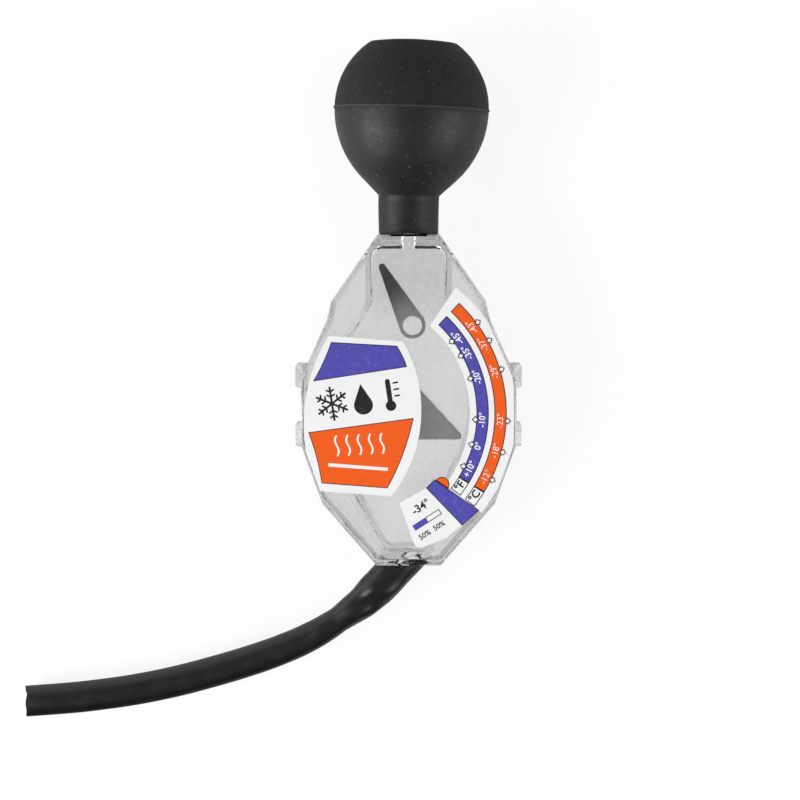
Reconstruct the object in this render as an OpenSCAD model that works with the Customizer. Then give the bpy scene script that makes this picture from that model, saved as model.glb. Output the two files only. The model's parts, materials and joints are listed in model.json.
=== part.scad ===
// Coolant hydrometer: a squeeze bulb draws coolant through a hose into a flat clear housing,
// where a weighted pointer floats to an angle that is read against a printed scale.
// The tester lies on its back, with the bulb towards +Y and the scale facing up.
// Lengths are millimetres and angles are degrees.

/* [Housing outline] */
// Width across the straight sides
housing_w = 69; // [66:0.5:80]
// Width of the top edge, which the bulb's neck stands on
top_w = 19.5; // [19:0.5:26]
// Width at the upper end of the shoulder facets
shoulder_top_w = 49.6; // [46:0.2:54]
// Width at the lower end of the shoulder facets
shoulder_low_w = 52.6; // [50:0.2:58]
// Width at the bends below the straight sides
hip_w = 55.4; // [52:0.2:64]
// Width of the bottom edge
bottom_w = 20.8; // [20:0.2:30]
// Height of the top edge over the housing's middle
top_y = 56.5; // [54:0.5:64]
// Height of the upper end of the shoulder facets
shoulder_top_y = 34.8; // [33:0.2:38]
// Height of the lower end of the shoulder facets
shoulder_low_y = 28.7; // [25:0.2:31]
// Height of the upper end of the straight sides
side_top_y = 10.3; // [6:0.1:14]
// Height of the lower end of the straight sides
side_low_y = -10.5; // [-14:0.1:-6]
// Height of the bends below the straight sides
hip_y = -29.4; // [-33:0.2:-26]
// Height of the bottom edge
bottom_y = -49.4; // [-56:0.2:-48.4]
// Radius of the outline's corners
corner_r = 1.6; // [1:0.1:2.4]

/* [Housing shells] */
// Thickness over both plates
housing_t = 24; // [23:0.5:30]
// Thickness of the front and rear plates
plate_t = 2.2; // [1.6:0.1:3]
// Thickness of the outer wall
wall_t = 2; // [1.4:0.1:2.4]
// How far the outer wall leans in between seam and plate
draft = 0.3; // [0:0.05:0.5]
// Chamfer round each plate
plate_chamfer = 0.5; // [0.3:0.05:0.7]
// Chamfer along the seam between the shells
seam_chamfer = 0.25; // [0.1:0.05:0.4]
// Chamfer along the chamber's wall, where the shells are welded
weld_chamfer = 0.8; // [0.4:0.1:1.2]

/* [Side lugs] */
// Height of the middle of the upper lugs
upper_lug_y = 11; // [6:0.5:14]
// Height of the middle of the lower lugs
lower_lug_y = -8; // [-13:0.5:-5]
// Length of a lug along the side
lug_len = 7.6; // [5:0.2:10]
// How far a lug stands out beyond the straight side
lug_out = 1.8; // [1:0.1:3]
// Radius of a lug's outer corners
lug_r = 1; // [0.4:0.1:1.6]
// Thickness of a lug over both shells
lug_t = 7; // [4:0.5:12]

/* [Measuring chamber] */
// Width of the chamber's neck
neck_w = 22.8; // [20:0.2:24]
// Height of the chamber's ceiling
ceiling_y = 51.8; // [50:0.2:53]
// Height at which the neck starts to widen
flare_y = 33.5; // [32:0.5:37]
// Height of the chamber's floor
floor_y = -45; // [-46:0.2:-43]
// Width of the chamber's floor
floor_w = 12; // [11:0.5:14]
// Distance of the floor's middle from the housing's middle
floor_x = -0.6; // [-2:0.1:0]
// Radius of the curved wall that the pointer's tip sweeps along
sweep_r = 36.6; // [36:0.1:37.4]
// Angle of the curved wall's lower end, seen from the pointer's pin
sweep_low = -33; // [-35:0.5:-31]
// Angle of the curved wall's upper end, seen from the pointer's pin
sweep_top = 42; // [40:0.5:44]
// How far the chamber's left wall lies inside the outer wall
left_bond = 1.7; // [1.2:0.1:2.1]
// Height of the upper end of the left wall
left_top_y = 5.5; // [4:0.5:7]
// Height of the lower end of the left wall
left_low_y = -5; // [-7:0.5:-3]
// Distance of the bend below the left wall from the housing's middle
bend_x = -20.5; // [-22:0.5:-19]
// Height of the bend below the left wall
bend_y = -20.5; // [-22:0.5:-19]
// Thickness of the chamber's wall
rib_t = 2.2; // [1.8:0.1:3]
// Radius of the corners at the chamber's floor
floor_r = 2; // [1:0.2:3]
// Radius of the corners at the chamber's ceiling
ceiling_r = 3; // [1:0.2:4]
// Radius of the bends in the chamber's left wall
left_r = 4; // [3:0.5:5]

/* [Pointer] */
// Distance of the pointer's pin from the housing's middle
pivot_x = -17.3; // [-18:0.1:-17]
// Height of the pointer's pin over the housing's middle
pivot_y = -0.4; // [-1.5:0.1:1]
// Reach of the pointer's tip from its pin
pointer_reach = 35.4; // [33:0.1:35.6]
// Angle of the pointer's tip at rest, over the horizontal
pointer_angle = -13.9; // [-20:0.1:-8]
// Radius of the round end of the tip
tip_r = 1; // [0.6:0.1:1.6]
// Radius of the pointer's round body
vane_r = 9.4; // [8.5:0.1:10]
// Distance of the float's upper corner from the pin
float_corner = 18.7; // [17:0.1:19.5]
// Angle of the float's upper corner ahead of the tip
float_angle = 51.9; // [48:0.1:54]
// Radius of the float's upper corner
float_corner_r = 1.5; // [1:0.1:2]
// Thickness of the pointer's blade
vane_t = 2.4; // [1.6:0.1:3.2]
// Radius of the hub
hub_r = 3.2; // [2.6:0.1:3.5]
// Length of the hub along the pin
hub_len = 7.4; // [6:0.2:9]
// Diameter of the pin
pin_d = 2; // [1.6:0.1:2.4]
// Running gap between pin and hub
pin_gap = 0.05; // [0.03:0.01:0.1]
// Length of the pin's seat in each boss
pin_seat = 4; // [3:0.5:4.5]
// Gap round the seated pin and round the counterweight
pin_fit = 0.02; // [0.01:0.01:0.04]
// Gap between the hub and each boss
hub_gap = 0.5; // [0.3:0.1:0.7]
// Radius of the bosses that hold the pin
boss_r = 2.6; // [2.2:0.1:3.2]
// Distance of the counterweight from the pin
weight_x = 6.2; // [6:0.1:6.6]
// Radius of the counterweight
weight_r = 2.4; // [1.8:0.1:2.5]
// Length of the counterweight along the pin
weight_len = 5; // [4:0.2:7]

/* [Level arm] */
// Distance of the arm's stud from the housing's middle
arm_x = 1.2; // [0:0.1:2.4]
// Height of the arm's stud over the housing's middle
arm_y = 27.5; // [27:0.1:28.5]
// Distance from the stud to the middle of the arm's round tip
arm_len = 20.8; // [18:0.2:21.5]
// Angle of the arm at rest, from the horizontal
arm_angle = 117.4; // [90:0.2:119]
// Radius of the arm's eye end
arm_eye_r = 4.2; // [3.8:0.1:4.8]
// Radius of the arm's tip
arm_tip_r = 1.1; // [0.8:0.1:1.6]
// Thickness of the arm
arm_t = 2.2; // [1.6:0.1:2.6]
// Width of the rim round the arm's recessed face
arm_rim = 0.7; // [0.5:0.1:0.7]
// Depth of the arm's recessed face below its rim
arm_recess = 0.4; // [0.2:0.1:0.8]
// Radius of the stud that carries the arm
stud_r = 3; // [2.4:0.1:3.2]
// Running gap between stud and arm
stud_gap = 0.06; // [0.03:0.01:0.1]
// Gap between the arm and the front plate
arm_gap = 0.9; // [0.6:0.1:1.2]
// Gap between the arm and the post below it
arm_float = 0.3; // [0.2:0.05:0.6]
// Length of the stud's seat in the post
stud_seat = 4; // [2:0.5:6]

/* [Squeeze bulb] */
// Radius of the bulb at its mould line
bulb_r = 24.6; // [22:0.1:30]
// Height of the mould line over the housing's middle
bulb_y = 96; // [95:0.2:104]
// Height of the middle of the top over the mould line
bulb_top_h = 21.9; // [20:0.1:22.6]
// Radius of the low dome on top
bulb_dome_r = 93; // [60:1:120]
// Radius of the edge round the dome
bulb_edge_r = 0.8; // [0.6:0.1:2]
// Radius of the upper half's side profile
bulb_top_r = 25.6; // [24.8:0.1:28]
// Radius of the lower half's side profile
bulb_low_r = 31; // [29:0.5:34]
// Lean of the cone between the lower half and the neck, from the bulb's axis
bulb_cone = 46; // [40:1:48]
// How far the mould line stands out
bead_out = 0.3; // [0.1:0.05:0.5]
// Width of the mould line
bead_w = 0.8; // [0.4:0.1:1.4]
// Thickness of the bulb's wall
bulb_wall = 2.6; // [2:0.1:3.5]
// Outer diameter of the bulb's neck
bulb_neck_d = 19.2; // [18:0.1:19.4]
// Bore of the bulb's neck
bulb_bore_d = 12.6; // [12:0.1:13.2]

/* [Spigots] */
// Diameter of the spigot that holds the bulb
bulb_spigot_d = 11.8; // [10.6:0.1:11.8]
// Length of the spigot that holds the bulb
bulb_spigot_len = 10.5; // [8:0.5:12]
// Bore of the spigot that holds the bulb
bulb_spigot_bore = 5; // [4:0.5:9]
// Diameter of the spigot that holds the hose
hose_spigot_d = 7.6; // [7:0.1:8]
// Length of the spigot that holds the hose
hose_spigot_len = 12; // [9:0.5:14]
// Bore of the spigot that holds the hose
hose_spigot_bore = 4.6; // [3.6:0.2:5.4]
// Slope of the hose spigot under the horizontal
hose_slope = 46; // [42:1:50]
// Place of the hose spigot along the bottom edge
hose_x = -1.5; // [-3:0.1:-1]
// How deep a spigot is rooted in the housing's edge
spigot_root = 4; // [3:0.5:5]
// How far a spigot's bore runs in from the housing's edge
bore_root = 8; // [7:0.5:9]
// How far a barb stands out of its spigot
barb_out = 0.35; // [0.2:0.05:0.4]
// Length of a barb
barb_len = 2.4; // [1.5:0.1:3]
// Gap between a barb and the rubber around it
barb_gap = 0.05; // [0.02:0.01:0.1]

/* [Hose] */
// Outer diameter of the hose
hose_d = 10.1; // [9:0.1:11]
// Bore of the hose
hose_bore = 6.2; // [5:0.2:7]
// Wall of the hose where it is stretched over its spigot
hose_sleeve_wall = 1.8; // [1.2:0.1:2]
// Length of the hose that is as wide as over its spigot
hose_sleeve_len = 16; // [14:0.5:18]

/* [Labels] */
// Thickness of both labels
label_t = 0.2; // [0.1:0.05:0.4]
// Margin between a label and the edge of the plate
label_margin = 0.3; // [0.2:0.1:1]
// Width of the name label at its ends
name_w = 23.6; // [20:0.2:24]
// Height of the name label
name_h = 49.5; // [44:0.5:50]
// Place of the name label's middle across the housing
name_x = -15.4; // [-16:0.2:-15]
// Height of the name label's middle
name_y = -1.2; // [-3:0.2:1]
// Lean of the name label
name_lean = -4.3; // [-6:0.1:0]
// How far the name label's outer side bows out
name_outer_bow = 6; // [3:0.2:6.2]
// How far the name label's inner side bows out
name_inner_bow = 7.6; // [4:0.2:8]
// Inner radius of the scale label, around the pointer's pin
scale_r = 36.7; // [36:0.1:37.5]
// Outer radius of the scale label, around the pointer's pin
scale_outer_r = 51.4; // [50:0.2:54]
// Angle of the scale label's upper end
scale_top_angle = 49.3; // [46:0.1:50]
// Angle of the scale label's lower end
scale_low_angle = -38; // [-40:0.5:-36]
// How much further the scale label's outer edge runs at the upper end
scale_slant = 2; // [0:0.5:3]

/* [Hidden] */
$fn = 64;
eps = 0.01;
// Points on each rounded corner, and degrees between the points of a long arc
corner_steps = 6;
arc_step = 3;

// Depth of one shell, and the inner face of its plate
depth = housing_t / 2;
inner_z = depth - plate_t;
// The flat of a plate is the outline moved in by this much
plate_inset = draft + plate_chamfer;
pivot = [pivot_x, pivot_y];
arm_at = [arm_x, arm_y];
pin_r = pin_d / 2;
pin_half = hub_len / 2 + hub_gap + pin_seat;
// The arm lies under the front plate, between the plate and the post of the rear shell
arm_z = inner_z - arm_gap - arm_t;
post_z = arm_z - arm_float;
// The chamber's left wall runs into the housing's outer wall
left_x = -housing_w / 2 + wall_t + left_bond;

// The tester rests on the bulb's mould line and on the lower edge of its rear plate
rest_low = [bottom_y + plate_inset, -depth];
rest_top = [bulb_y - bead_w / 2, -bulb_r - bead_out];
tilt = atan2(rest_low.y - rest_top.y, rest_top.x - rest_low.x);
lift = -rest_low.x * sin(tilt) - rest_low.y * cos(tilt);
// The origin lies under the middle of the tester, measured without its hose
far_y = (bulb_y + bulb_top_h - bulb_dome_r) * cos(tilt) + bulb_dome_r;
spigot_tip_y = bottom_y - hose_spigot_len * sin(hose_slope);
near_y = spigot_tip_y * cos(tilt)
    - hose_spigot_d / 2 * norm([cos(hose_slope) * cos(tilt), sin(tilt)]);
shift_y = -(far_y + near_y) / 2;

// Route of the hose over the floor, from the end of its wide stretch to its cut end
hose_route = [
    [-17, -93, 10.3], [-22, -96.7, 9.6], [-27.5, -100.4, 8.9], [-34, -104, 8], [-40.5, -106.9, 7.2],
    [-47, -109.4, 6.5], [-53.5, -111.6, 5.9], [-60, -113.6, 5.5], [-67, -115.6, 5.2], [-73.5, -117.3, 5.1],
    [-80, -118.8, 5.1], [-86.5, -120.1, 5.1], [-93, -121.2, 5.1], [-99.5, -122.1, 5.1], [-106, -122.9, 5.1],
    [-112.5, -123.5, 5.1], [-119, -124, 5.1], [-124.7, -124.4, 5.1]
];
hose_sides = 12;

// Unit vector, and the points of an arc
function unit(v) = v / norm(v);
function arc(c, r, from, to, n) = [
    for (i = [0:n]) let (a = from + (to - from) * i / n) c + r * [cos(a), sin(a)]
];
function long_arc(c, r, from, to) = arc(c, r, from, to, ceil(abs(to - from) / arc_step));

// The shorter turn from one angle to another
function turn(from, to) = let (d = (to - from) % 360) d > 180 ? d - 360 : d < -180 ? d + 360 : d;

// A corner of radius r at b, between its neighbours a and c
function corner(a, b, c, r) =
    let (u = unit(a - b), v = unit(c - b), half = acos(u * v) / 2, centre = b + unit(u + v) * r / sin(half))
    let (p = b + u * r / tan(half) - centre, q = b + v * r / tan(half) - centre)
    let (from = atan2(p.y, p.x))
    arc(centre, r, from, from + turn(from, atan2(q.y, q.x)), corner_steps);

// A loop of [x, y, radius] corners as points; a radius of 0 keeps a corner sharp
function rounded(c) = let (n = len(c)) [
    for (i = [0:n - 1]) let (at = function (k) [c[(k + n) % n].x, c[(k + n) % n].y])
    each c[i].z > 0 ? corner(at(i - 1), at(i), at(i + 1), c[i].z) : [at(i)]
];

// An anticlockwise loop of corners moved in by d, with its rounded corners kept concentric
function moved_in(c, d) = let (n = len(c)) [
    for (i = [0:n - 1])
    let (at = function (k) [c[(k + n) % n].x, c[(k + n) % n].y])
    let (e = unit(at(i) - at(i - 1)), f = unit(at(i + 1) - at(i)))
    let (p = [-e.y, e.x], q = [-f.y, f.x], out = cross(e, f) > 0 ? -1 : 1)
    let (b = at(i) + d * (p + q) / (1 + p * q))
    [b.x, b.y, c[i].z > 0 ? max(c[i].z + out * d, 0.1) : 0]
];

// A side from a to b that bows out to its right by h, as an arc without its last point
function bowed(a, b, h) =
    let (half = norm(b - a) / 2, r = (half * half + h * h) / (2 * h), along = unit(b - a))
    let (out = [along.y, -along.x], c = (a + b) / 2 + out * (h - r))
    let (from = atan2(a.y - c.y, a.x - c.x), to = atan2(b.y - c.y, b.x - c.x))
    [for (i = [0:11]) let (t = from + turn(from, to) * i / 12) c + r * [cos(t), sin(t)]];

// The housing's outline from its right half, anticlockwise from the bottom
half_outline = [
    [bottom_w / 2, bottom_y], [hip_w / 2, hip_y], [housing_w / 2, side_low_y], [housing_w / 2, side_top_y],
    [shoulder_low_w / 2, shoulder_low_y], [shoulder_top_w / 2, shoulder_top_y], [top_w / 2, top_y]
];
outline = [
    for (p = half_outline) [p.x, p.y, corner_r],
    for (i = [len(half_outline) - 1:-1:0]) [-half_outline[i].x, half_outline[i].y, corner_r]
];

// The chamber: a neck below the bulb, a wide hollow round the pointer and a floor over the hose
chamber = [
    [floor_x + floor_w / 2, floor_y, floor_r],
    for (p = long_arc(pivot, sweep_r, sweep_low, sweep_top)) [p.x, p.y, 0],
    [neck_w / 2, flare_y, floor_r], [neck_w / 2, ceiling_y, ceiling_r],
    [-neck_w / 2, ceiling_y, ceiling_r], [-neck_w / 2, flare_y, 2 * left_r],
    [left_x, left_top_y, left_r], [left_x, left_low_y, left_r],
    [bend_x, bend_y, 1.5 * left_r], [floor_x - floor_w / 2, floor_y, floor_r]
];

module housing_face(d) polygon(rounded(moved_in(outline, d)));
module chamber_face(d) polygon(rounded(moved_in(chamber, d)));

// A solid through a stack of sections, each a height and how far the loop of corners is moved in there
module stack(loop, sections) {
    rings = [for (s = sections) [for (p = rounded(moved_in(loop, s.y))) [p.x, p.y, s.x]]];
    n = len(rings[0]);
    last = len(rings) - 1;
    polyhedron(
        points = [for (r = rings) each r],
        faces = [
            [for (i = [0:n - 1]) i],
            for (k = [0:last - 1], i = [0:n - 1])
                let (a = k * n + i, b = k * n + (i + 1) % n) [a, a + n, b + n, b],
            [for (i = [n - 1:-1:0]) last * n + i]
        ]
    );
}

// Lays the tester on its back, on the floor
module lying() translate([0, shift_y, lift]) rotate([tilt, 0, 0]) children();

// The rear shell is the front shell's mirror image
module on_side(front) mirror([0, 0, front ? 0 : 1]) children();

// Along an axis in the seam plane, from a point of the housing's edge
module along(p, angle) translate([p.x, p.y, 0]) rotate([0, 90, angle]) children();
module along_bulb() along([0, top_y], 90) children();
module along_hose() along([hose_x, bottom_y], hose_slope - 180) children();

// A spigot that starts inside the wall, with a barb near its end
module spigot(d, length, root) {
    translate([0, 0, -root]) cylinder(d = d, h = root + length);
    translate([0, 0, length - 2 * barb_len]) cylinder(d1 = d + 2 * barb_out, d2 = d, h = barb_len);
}

// Both spigots are split along the seam, so each shell moulds its own half
module half_space()
    translate([-housing_w, -2 * housing_w, 0]) cube([2 * housing_w, 4 * housing_w, housing_t]);
module spigots() intersection() {
    union() {
        along_bulb() spigot(bulb_spigot_d, bulb_spigot_len, spigot_root);
        along_hose() spigot(hose_spigot_d, hose_spigot_len, spigot_root);
    }
    half_space();
}
module spigot_bore(d, length) translate([0, 0, -bore_root]) cylinder(d = d, h = bore_root + length + eps);
module spigot_bores() {
    along_bulb() spigot_bore(bulb_spigot_bore, bulb_spigot_len);
    along_hose() spigot_bore(hose_spigot_bore, hose_spigot_len);
}

// A lug's root lies inside the outer wall
module lugs() {
    out_x = housing_w / 2 + lug_out;
    root_x = housing_w / 2 - 2 * wall_t;
    for (side = [0, 1], y = [upper_lug_y, lower_lug_y])
        mirror([side, 0, 0]) translate([0, y, 0]) linear_extrude(lug_t / 2) polygon(rounded([
            [root_x, -lug_len / 2, 0], [out_x, -lug_len / 2, lug_r], [out_x, lug_len / 2, lug_r],
            [root_x, lug_len / 2, 0]
        ]));
}

// What both shells have in common: plate, outer wall, chamber wall, lugs and half spigots
module shell() {
    difference() {
        union() {
            stack(outline, [
                [0, seam_chamfer], [seam_chamfer, 0], [depth - plate_chamfer, draft], [depth, plate_inset]
            ]);
            spigots();
            lugs();
        }
        translate([0, 0, -eps]) linear_extrude(inner_z + eps) difference() {
            housing_face(wall_t);
            chamber_face(-rib_t);
        }
        stack(chamber, [[-eps, -weld_chamfer - eps], [weld_chamfer, 0], [inner_z, 0]]);
        spigot_bores();
    }
    pin_boss();
}

// A boss on the plate with a blind bore for the end of the pointer's pin
module pin_boss() translate([pivot.x, pivot.y, 0]) difference() {
    translate([0, 0, hub_len / 2 + hub_gap]) cylinder(r = boss_r, h = inner_z + eps - hub_len / 2 - hub_gap);
    cylinder(r = pin_r + pin_fit, h = pin_half + pin_fit);
}

module front_shell() color([0.86, 0.88, 0.89, 0.45]) lying() {
    shell();
    translate([arm_at.x, arm_at.y, post_z - stud_seat])
        cylinder(r = stud_r, h = inner_z + eps - post_z + stud_seat);
}

module rear_shell() color([0.80, 0.82, 0.83, 0.45]) lying() {
    on_side(false) shell();
    translate([arm_at.x, arm_at.y, 0]) difference() {
        translate([0, 0, -inner_z - eps]) cylinder(r = arm_eye_r, h = inner_z + eps + post_z);
        translate([0, 0, post_z - stud_seat - stud_gap])
            cylinder(r = stud_r + stud_gap, h = stud_seat + 2 * stud_gap);
    }
}

// Right-hand crossing of a circle round a with one round b, which lies above it
function crossing(a, ra, b, rb) =
    let (d = norm(b - a), u = (b - a) / d, k = (ra * ra - rb * rb + d * d) / (2 * d))
    a + k * u + sqrt(ra * ra - k * k) * [u.y, -u.x];

// One skin of the bulb, d inside the outer one, from the middle of its dome down to a neck of radius neck
function bulb_skin(d, bead, neck) =
    let (dome_c = [0, bulb_top_h - bulb_dome_r], dome_r = bulb_dome_r - d)
    let (top_c = [bulb_r - bulb_top_r, 0], top_r = bulb_top_r - d)
    let (low_c = [bulb_r - bulb_low_r, 0], low_r = bulb_low_r - d, half = bead_w / 2)
    let (edge = crossing(dome_c, dome_r - bulb_edge_r, top_c, top_r - bulb_edge_r))
    let (from = edge - dome_c, to = edge - top_c, a = atan2(from.y, from.x), b = atan2(to.y, to.x))
    let (cone = low_c + low_r * [cos(bulb_cone), -sin(bulb_cone)])
    concat(
        arc(dome_c, dome_r, 90, a, 3),
        arc(edge, bulb_edge_r, a + (b - a) / 4, b, 3),
        long_arc(top_c, top_r, b - arc_step, asin(half / top_r)),
        bead > 0 ? [[bulb_r + bead, half], [bulb_r + bead, -half]] : [],
        long_arc(low_c, low_r, -asin(half / low_r), -bulb_cone),
        [[neck, cone.y - (cone.x - neck) / tan(bulb_cone)]]
    );
function reversed(list) = [for (i = [len(list) - 1:-1:0]) list[i]];

module squeeze_bulb() color([0.16, 0.16, 0.16]) lying() translate([0, bulb_y, 0]) rotate([-90, 0, 0]) {
    neck = bulb_neck_d / 2;
    bore = bulb_bore_d / 2;
    neck_end = top_y - bulb_y;
    rotate_extrude() polygon(concat(
        bulb_skin(0, bead_out, neck),
        [[neck, neck_end], [bore, neck_end]],
        reversed(bulb_skin(bulb_wall, 0, bore))
    ));
}

// The pointer's own frame: its pin at the origin and its tip along +X
module on_pin() lying() translate([pivot.x, pivot.y, 0]) rotate(pointer_angle) children();

module pointer_vane() color([0.45, 0.46, 0.46]) on_pin()
    difference() {
        union() {
            translate([0, 0, -vane_t / 2]) linear_extrude(vane_t) hull() {
                circle(r = vane_r);
                translate([pointer_reach - tip_r, 0]) circle(r = tip_r);
                rotate(float_angle) translate([float_corner, 0]) circle(r = float_corner_r);
            }
            translate([0, 0, -hub_len / 2]) cylinder(r = hub_r, h = hub_len);
        }
        translate([0, 0, -hub_len]) cylinder(r = pin_r + pin_gap, h = 2 * hub_len);
        translate([-weight_x, 0, -hub_len]) cylinder(r = weight_r + pin_fit, h = 2 * hub_len);
    }

module counterweight() color([0.72, 0.57, 0.27]) on_pin()
    translate([-weight_x, 0, -weight_len / 2]) cylinder(r = weight_r, h = weight_len);

module pointer_pin() color([0.70, 0.71, 0.72]) lying()
    translate([pivot.x, pivot.y, -pin_half]) cylinder(r = pin_r, h = 2 * pin_half);

// The arm's face, moved in by d
module arm_face(d) hull() {
    circle(r = arm_eye_r - d);
    rotate(arm_angle) translate([arm_len, 0]) circle(r = arm_tip_r - d);
}

module level_arm() color([0.12, 0.12, 0.12]) lying() translate([arm_at.x, arm_at.y, arm_z]) difference() {
    linear_extrude(arm_t) arm_face(0);
    translate([0, 0, arm_t - arm_recess]) linear_extrude(2 * arm_recess) difference() {
        arm_face(arm_rim);
        circle(r = arm_eye_r);
    }
    translate([0, 0, -arm_t]) cylinder(r = stud_r + stud_gap, h = 3 * arm_t);
}

// Labels lie on the flat of the front plate and stay inside its edge
module on_plate() translate([0, 0, depth]) linear_extrude(label_t) intersection() {
    housing_face(plate_inset + label_margin);
    children();
}

module name_label() color([0.95, 0.95, 0.96]) lying() on_plate()
    translate([name_x, name_y]) rotate(name_lean) polygon(concat(
        bowed([name_w / 2, -name_h / 2], [name_w / 2, name_h / 2], name_inner_bow),
        [[name_w / 2, name_h / 2]],
        bowed([-name_w / 2, name_h / 2], [-name_w / 2, -name_h / 2], name_outer_bow),
        [[-name_w / 2, -name_h / 2]]
    ));

// The mixing table under the scale: its corners round the lower end of the scale
table_corners = [
    [8.2, -21.2, 0], [5.4, -24.2, 0], [-2.9, -28.9, 0.5], [2.4, -44, 2.2], [12.2, -40, 0], [22.7, -31.1, 0]
];
module scale_label() color([0.94, 0.94, 0.96]) lying() on_plate() {
    ends = [scale_low_angle, scale_top_angle];
    polygon(concat(
        long_arc(pivot, scale_outer_r, ends[0], ends[1] + scale_slant),
        long_arc(pivot, scale_r, ends[1], ends[0])
    ));
    polygon(rounded(table_corners));
}

// The hose leaves the housing straight, wide over its spigot, and then follows its route to the cut end
function laid(p) = [
    p.x, shift_y + p.y * cos(tilt) - p.z * sin(tilt), lift + p.y * sin(tilt) + p.z * cos(tilt)
];
hose_axis = [-cos(hose_slope), -sin(hose_slope), 0];
hose_start = [hose_x, bottom_y, 0];
hose_path = concat([laid(hose_start), laid(hose_start + hose_sleeve_len * hose_axis)], hose_route);
sleeve_bore_r = hose_spigot_d / 2 + barb_out + barb_gap;

function heading(path, i) = unit(path[min(i + 1, len(path) - 1)] - path[max(i - 1, 0)]);

// One ring of the hose; the first is cut flush with the housing's bottom edge
function hose_ring(i, r) =
    let (t = i < 2 ? unit(hose_path[1] - hose_path[0]) : heading(hose_path, i))
    let (side = unit(cross(t, [0, 0, 1])), up = cross(side, t), face = [0, cos(tilt), sin(tilt)]) [
        for (k = [0:hose_sides - 1])
        let (a = 360 * (k + 0.5) / hose_sides, o = r / cos(180 / hose_sides) * (side * cos(a) + up * sin(a)))
        hose_path[i] + o - (i == 0 ? t * (o * face) / (t * face) : [0, 0, 0])
    ];

module hose() color([0.13, 0.13, 0.13]) {
    n = hose_sides;
    rings = len(hose_path);
    facet = cos(180 / n);
    outer_r = function (i) i < 2 ? sleeve_bore_r + hose_sleeve_wall : hose_d / 2 * facet;
    inner_r = function (i) i < 2 ? sleeve_bore_r : hose_bore / 2;
    inner = rings * n;
    end = (rings - 1) * n;
    polyhedron(
        points = concat(
            [for (i = [0:rings - 1]) each hose_ring(i, outer_r(i))],
            [for (i = [0:rings - 1]) each hose_ring(i, inner_r(i))]
        ),
        faces = [
            for (k = [0:n - 1]) let (m = (k + 1) % n) each [
                for (i = [0:rings - 2]) each [
                    let (a = i * n + k, b = i * n + m) each [[a, b, b + n], [a, b + n, a + n]],
                    let (a = inner + i * n + k, b = inner + i * n + m) each [[a, b + n, b], [a, a + n, b + n]]
                ],
                [k, inner + k, inner + m], [k, inner + m, m],
                [end + k, inner + end + m, inner + end + k], [end + k, end + m, inner + end + m]
            ]
        ]
    );
}

squeeze_bulb();
front_shell();
rear_shell();
hose();
pointer_vane();
counterweight();
pointer_pin();
level_arm();
name_label();
scale_label();
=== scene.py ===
"""Coolant hydrometer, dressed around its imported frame.

A squeeze bulb draws coolant through a hose into a flat clear housing, where a weighted pointer floats to an
angle that is read against two printed scales. The tester lies on its back, with the scales facing up.
"""

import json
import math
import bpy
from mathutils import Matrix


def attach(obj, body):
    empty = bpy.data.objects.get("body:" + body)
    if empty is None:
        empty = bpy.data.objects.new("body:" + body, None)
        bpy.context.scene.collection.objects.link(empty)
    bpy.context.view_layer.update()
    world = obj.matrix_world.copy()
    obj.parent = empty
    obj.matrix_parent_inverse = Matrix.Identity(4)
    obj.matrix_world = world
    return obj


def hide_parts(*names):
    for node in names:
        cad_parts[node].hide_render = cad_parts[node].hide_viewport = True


bl_info = {
    "name": "Coolant Hydrometer",
    "version": (1, 0, 0),
    "blender": (4, 5, 0),
    "location": "View3D > Sidebar > Hydrometer",
    "description": "Rubber, clear plastic and printed labels for a coolant hydrometer",
    "category": "Object",
}

import bpy
from bpy.props import FloatProperty, FloatVectorProperty, IntProperty, PointerProperty
from bpy.types import Operator, Panel, PropertyGroup
from mathutils import Matrix, Vector
from mathutils.geometry import interpolate_bezier, intersect_sphere_sphere_2d

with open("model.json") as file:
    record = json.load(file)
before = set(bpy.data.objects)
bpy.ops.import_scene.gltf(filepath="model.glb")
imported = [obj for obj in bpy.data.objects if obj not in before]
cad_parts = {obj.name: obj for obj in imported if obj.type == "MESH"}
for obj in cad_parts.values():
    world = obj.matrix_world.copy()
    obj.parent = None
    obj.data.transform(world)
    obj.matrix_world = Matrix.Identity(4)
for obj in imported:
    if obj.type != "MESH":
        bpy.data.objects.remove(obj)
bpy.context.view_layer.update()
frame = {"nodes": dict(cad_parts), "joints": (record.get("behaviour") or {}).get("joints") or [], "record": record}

MM = 0.001
QUARTER = math.pi / 2
TESTER = "tester"

# Edges flatter than this are shaded smooth, and vertices closer than this are merged
SMOOTH = math.radians(50)
MERGE = 0.002 * MM

# Turn between two sections of a printed band
BAND_STEP = math.radians(1.5)


def named(entries, name):
    """The entry of a record's list that has this name."""
    return next(e for e in entries if e["name"] == name)


# The tester's own frame: its middle, its front side's normal and its tilt over the floor
REAR_FACE = named(frame["record"]["mounts"], "rear_face")
PIN = Vector(named(frame["joints"], "pointer_pivot")["pos_m"])
STUD = Vector(named(frame["joints"], "arm_pivot")["pos_m"])
FRONT = -Vector(REAR_FACE["axis"])
TILT = math.atan2(-FRONT.y, FRONT.z)
HALF_DEPTH = (PIN - Vector(REAR_FACE["pos_m"])).dot(FRONT)
MIDDLE = Vector(REAR_FACE["pos_m"]) + FRONT * HALF_DEPTH
LYING = Matrix.Translation(MIDDLE) @ Matrix.Rotation(TILT, 4, "X")
PIVOT = LYING.inverted() @ PIN


def number(name, description, default, **settings):
    """A number that a user may change."""
    return FloatProperty(name=name, description=description, default=default, **settings)


def length(name, description, default):
    """A length, with its default in millimetres."""
    return number(name, description, default * MM, unit="LENGTH", precision=5)


def degrees(name, description, default):
    """An angle, with its default in degrees."""
    return number(name, description, math.radians(default), subtype="ANGLE")


def share(name, description, default):
    """A share between nothing and all of something."""
    return number(name, description, default, min=0, max=1, subtype="FACTOR")


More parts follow.
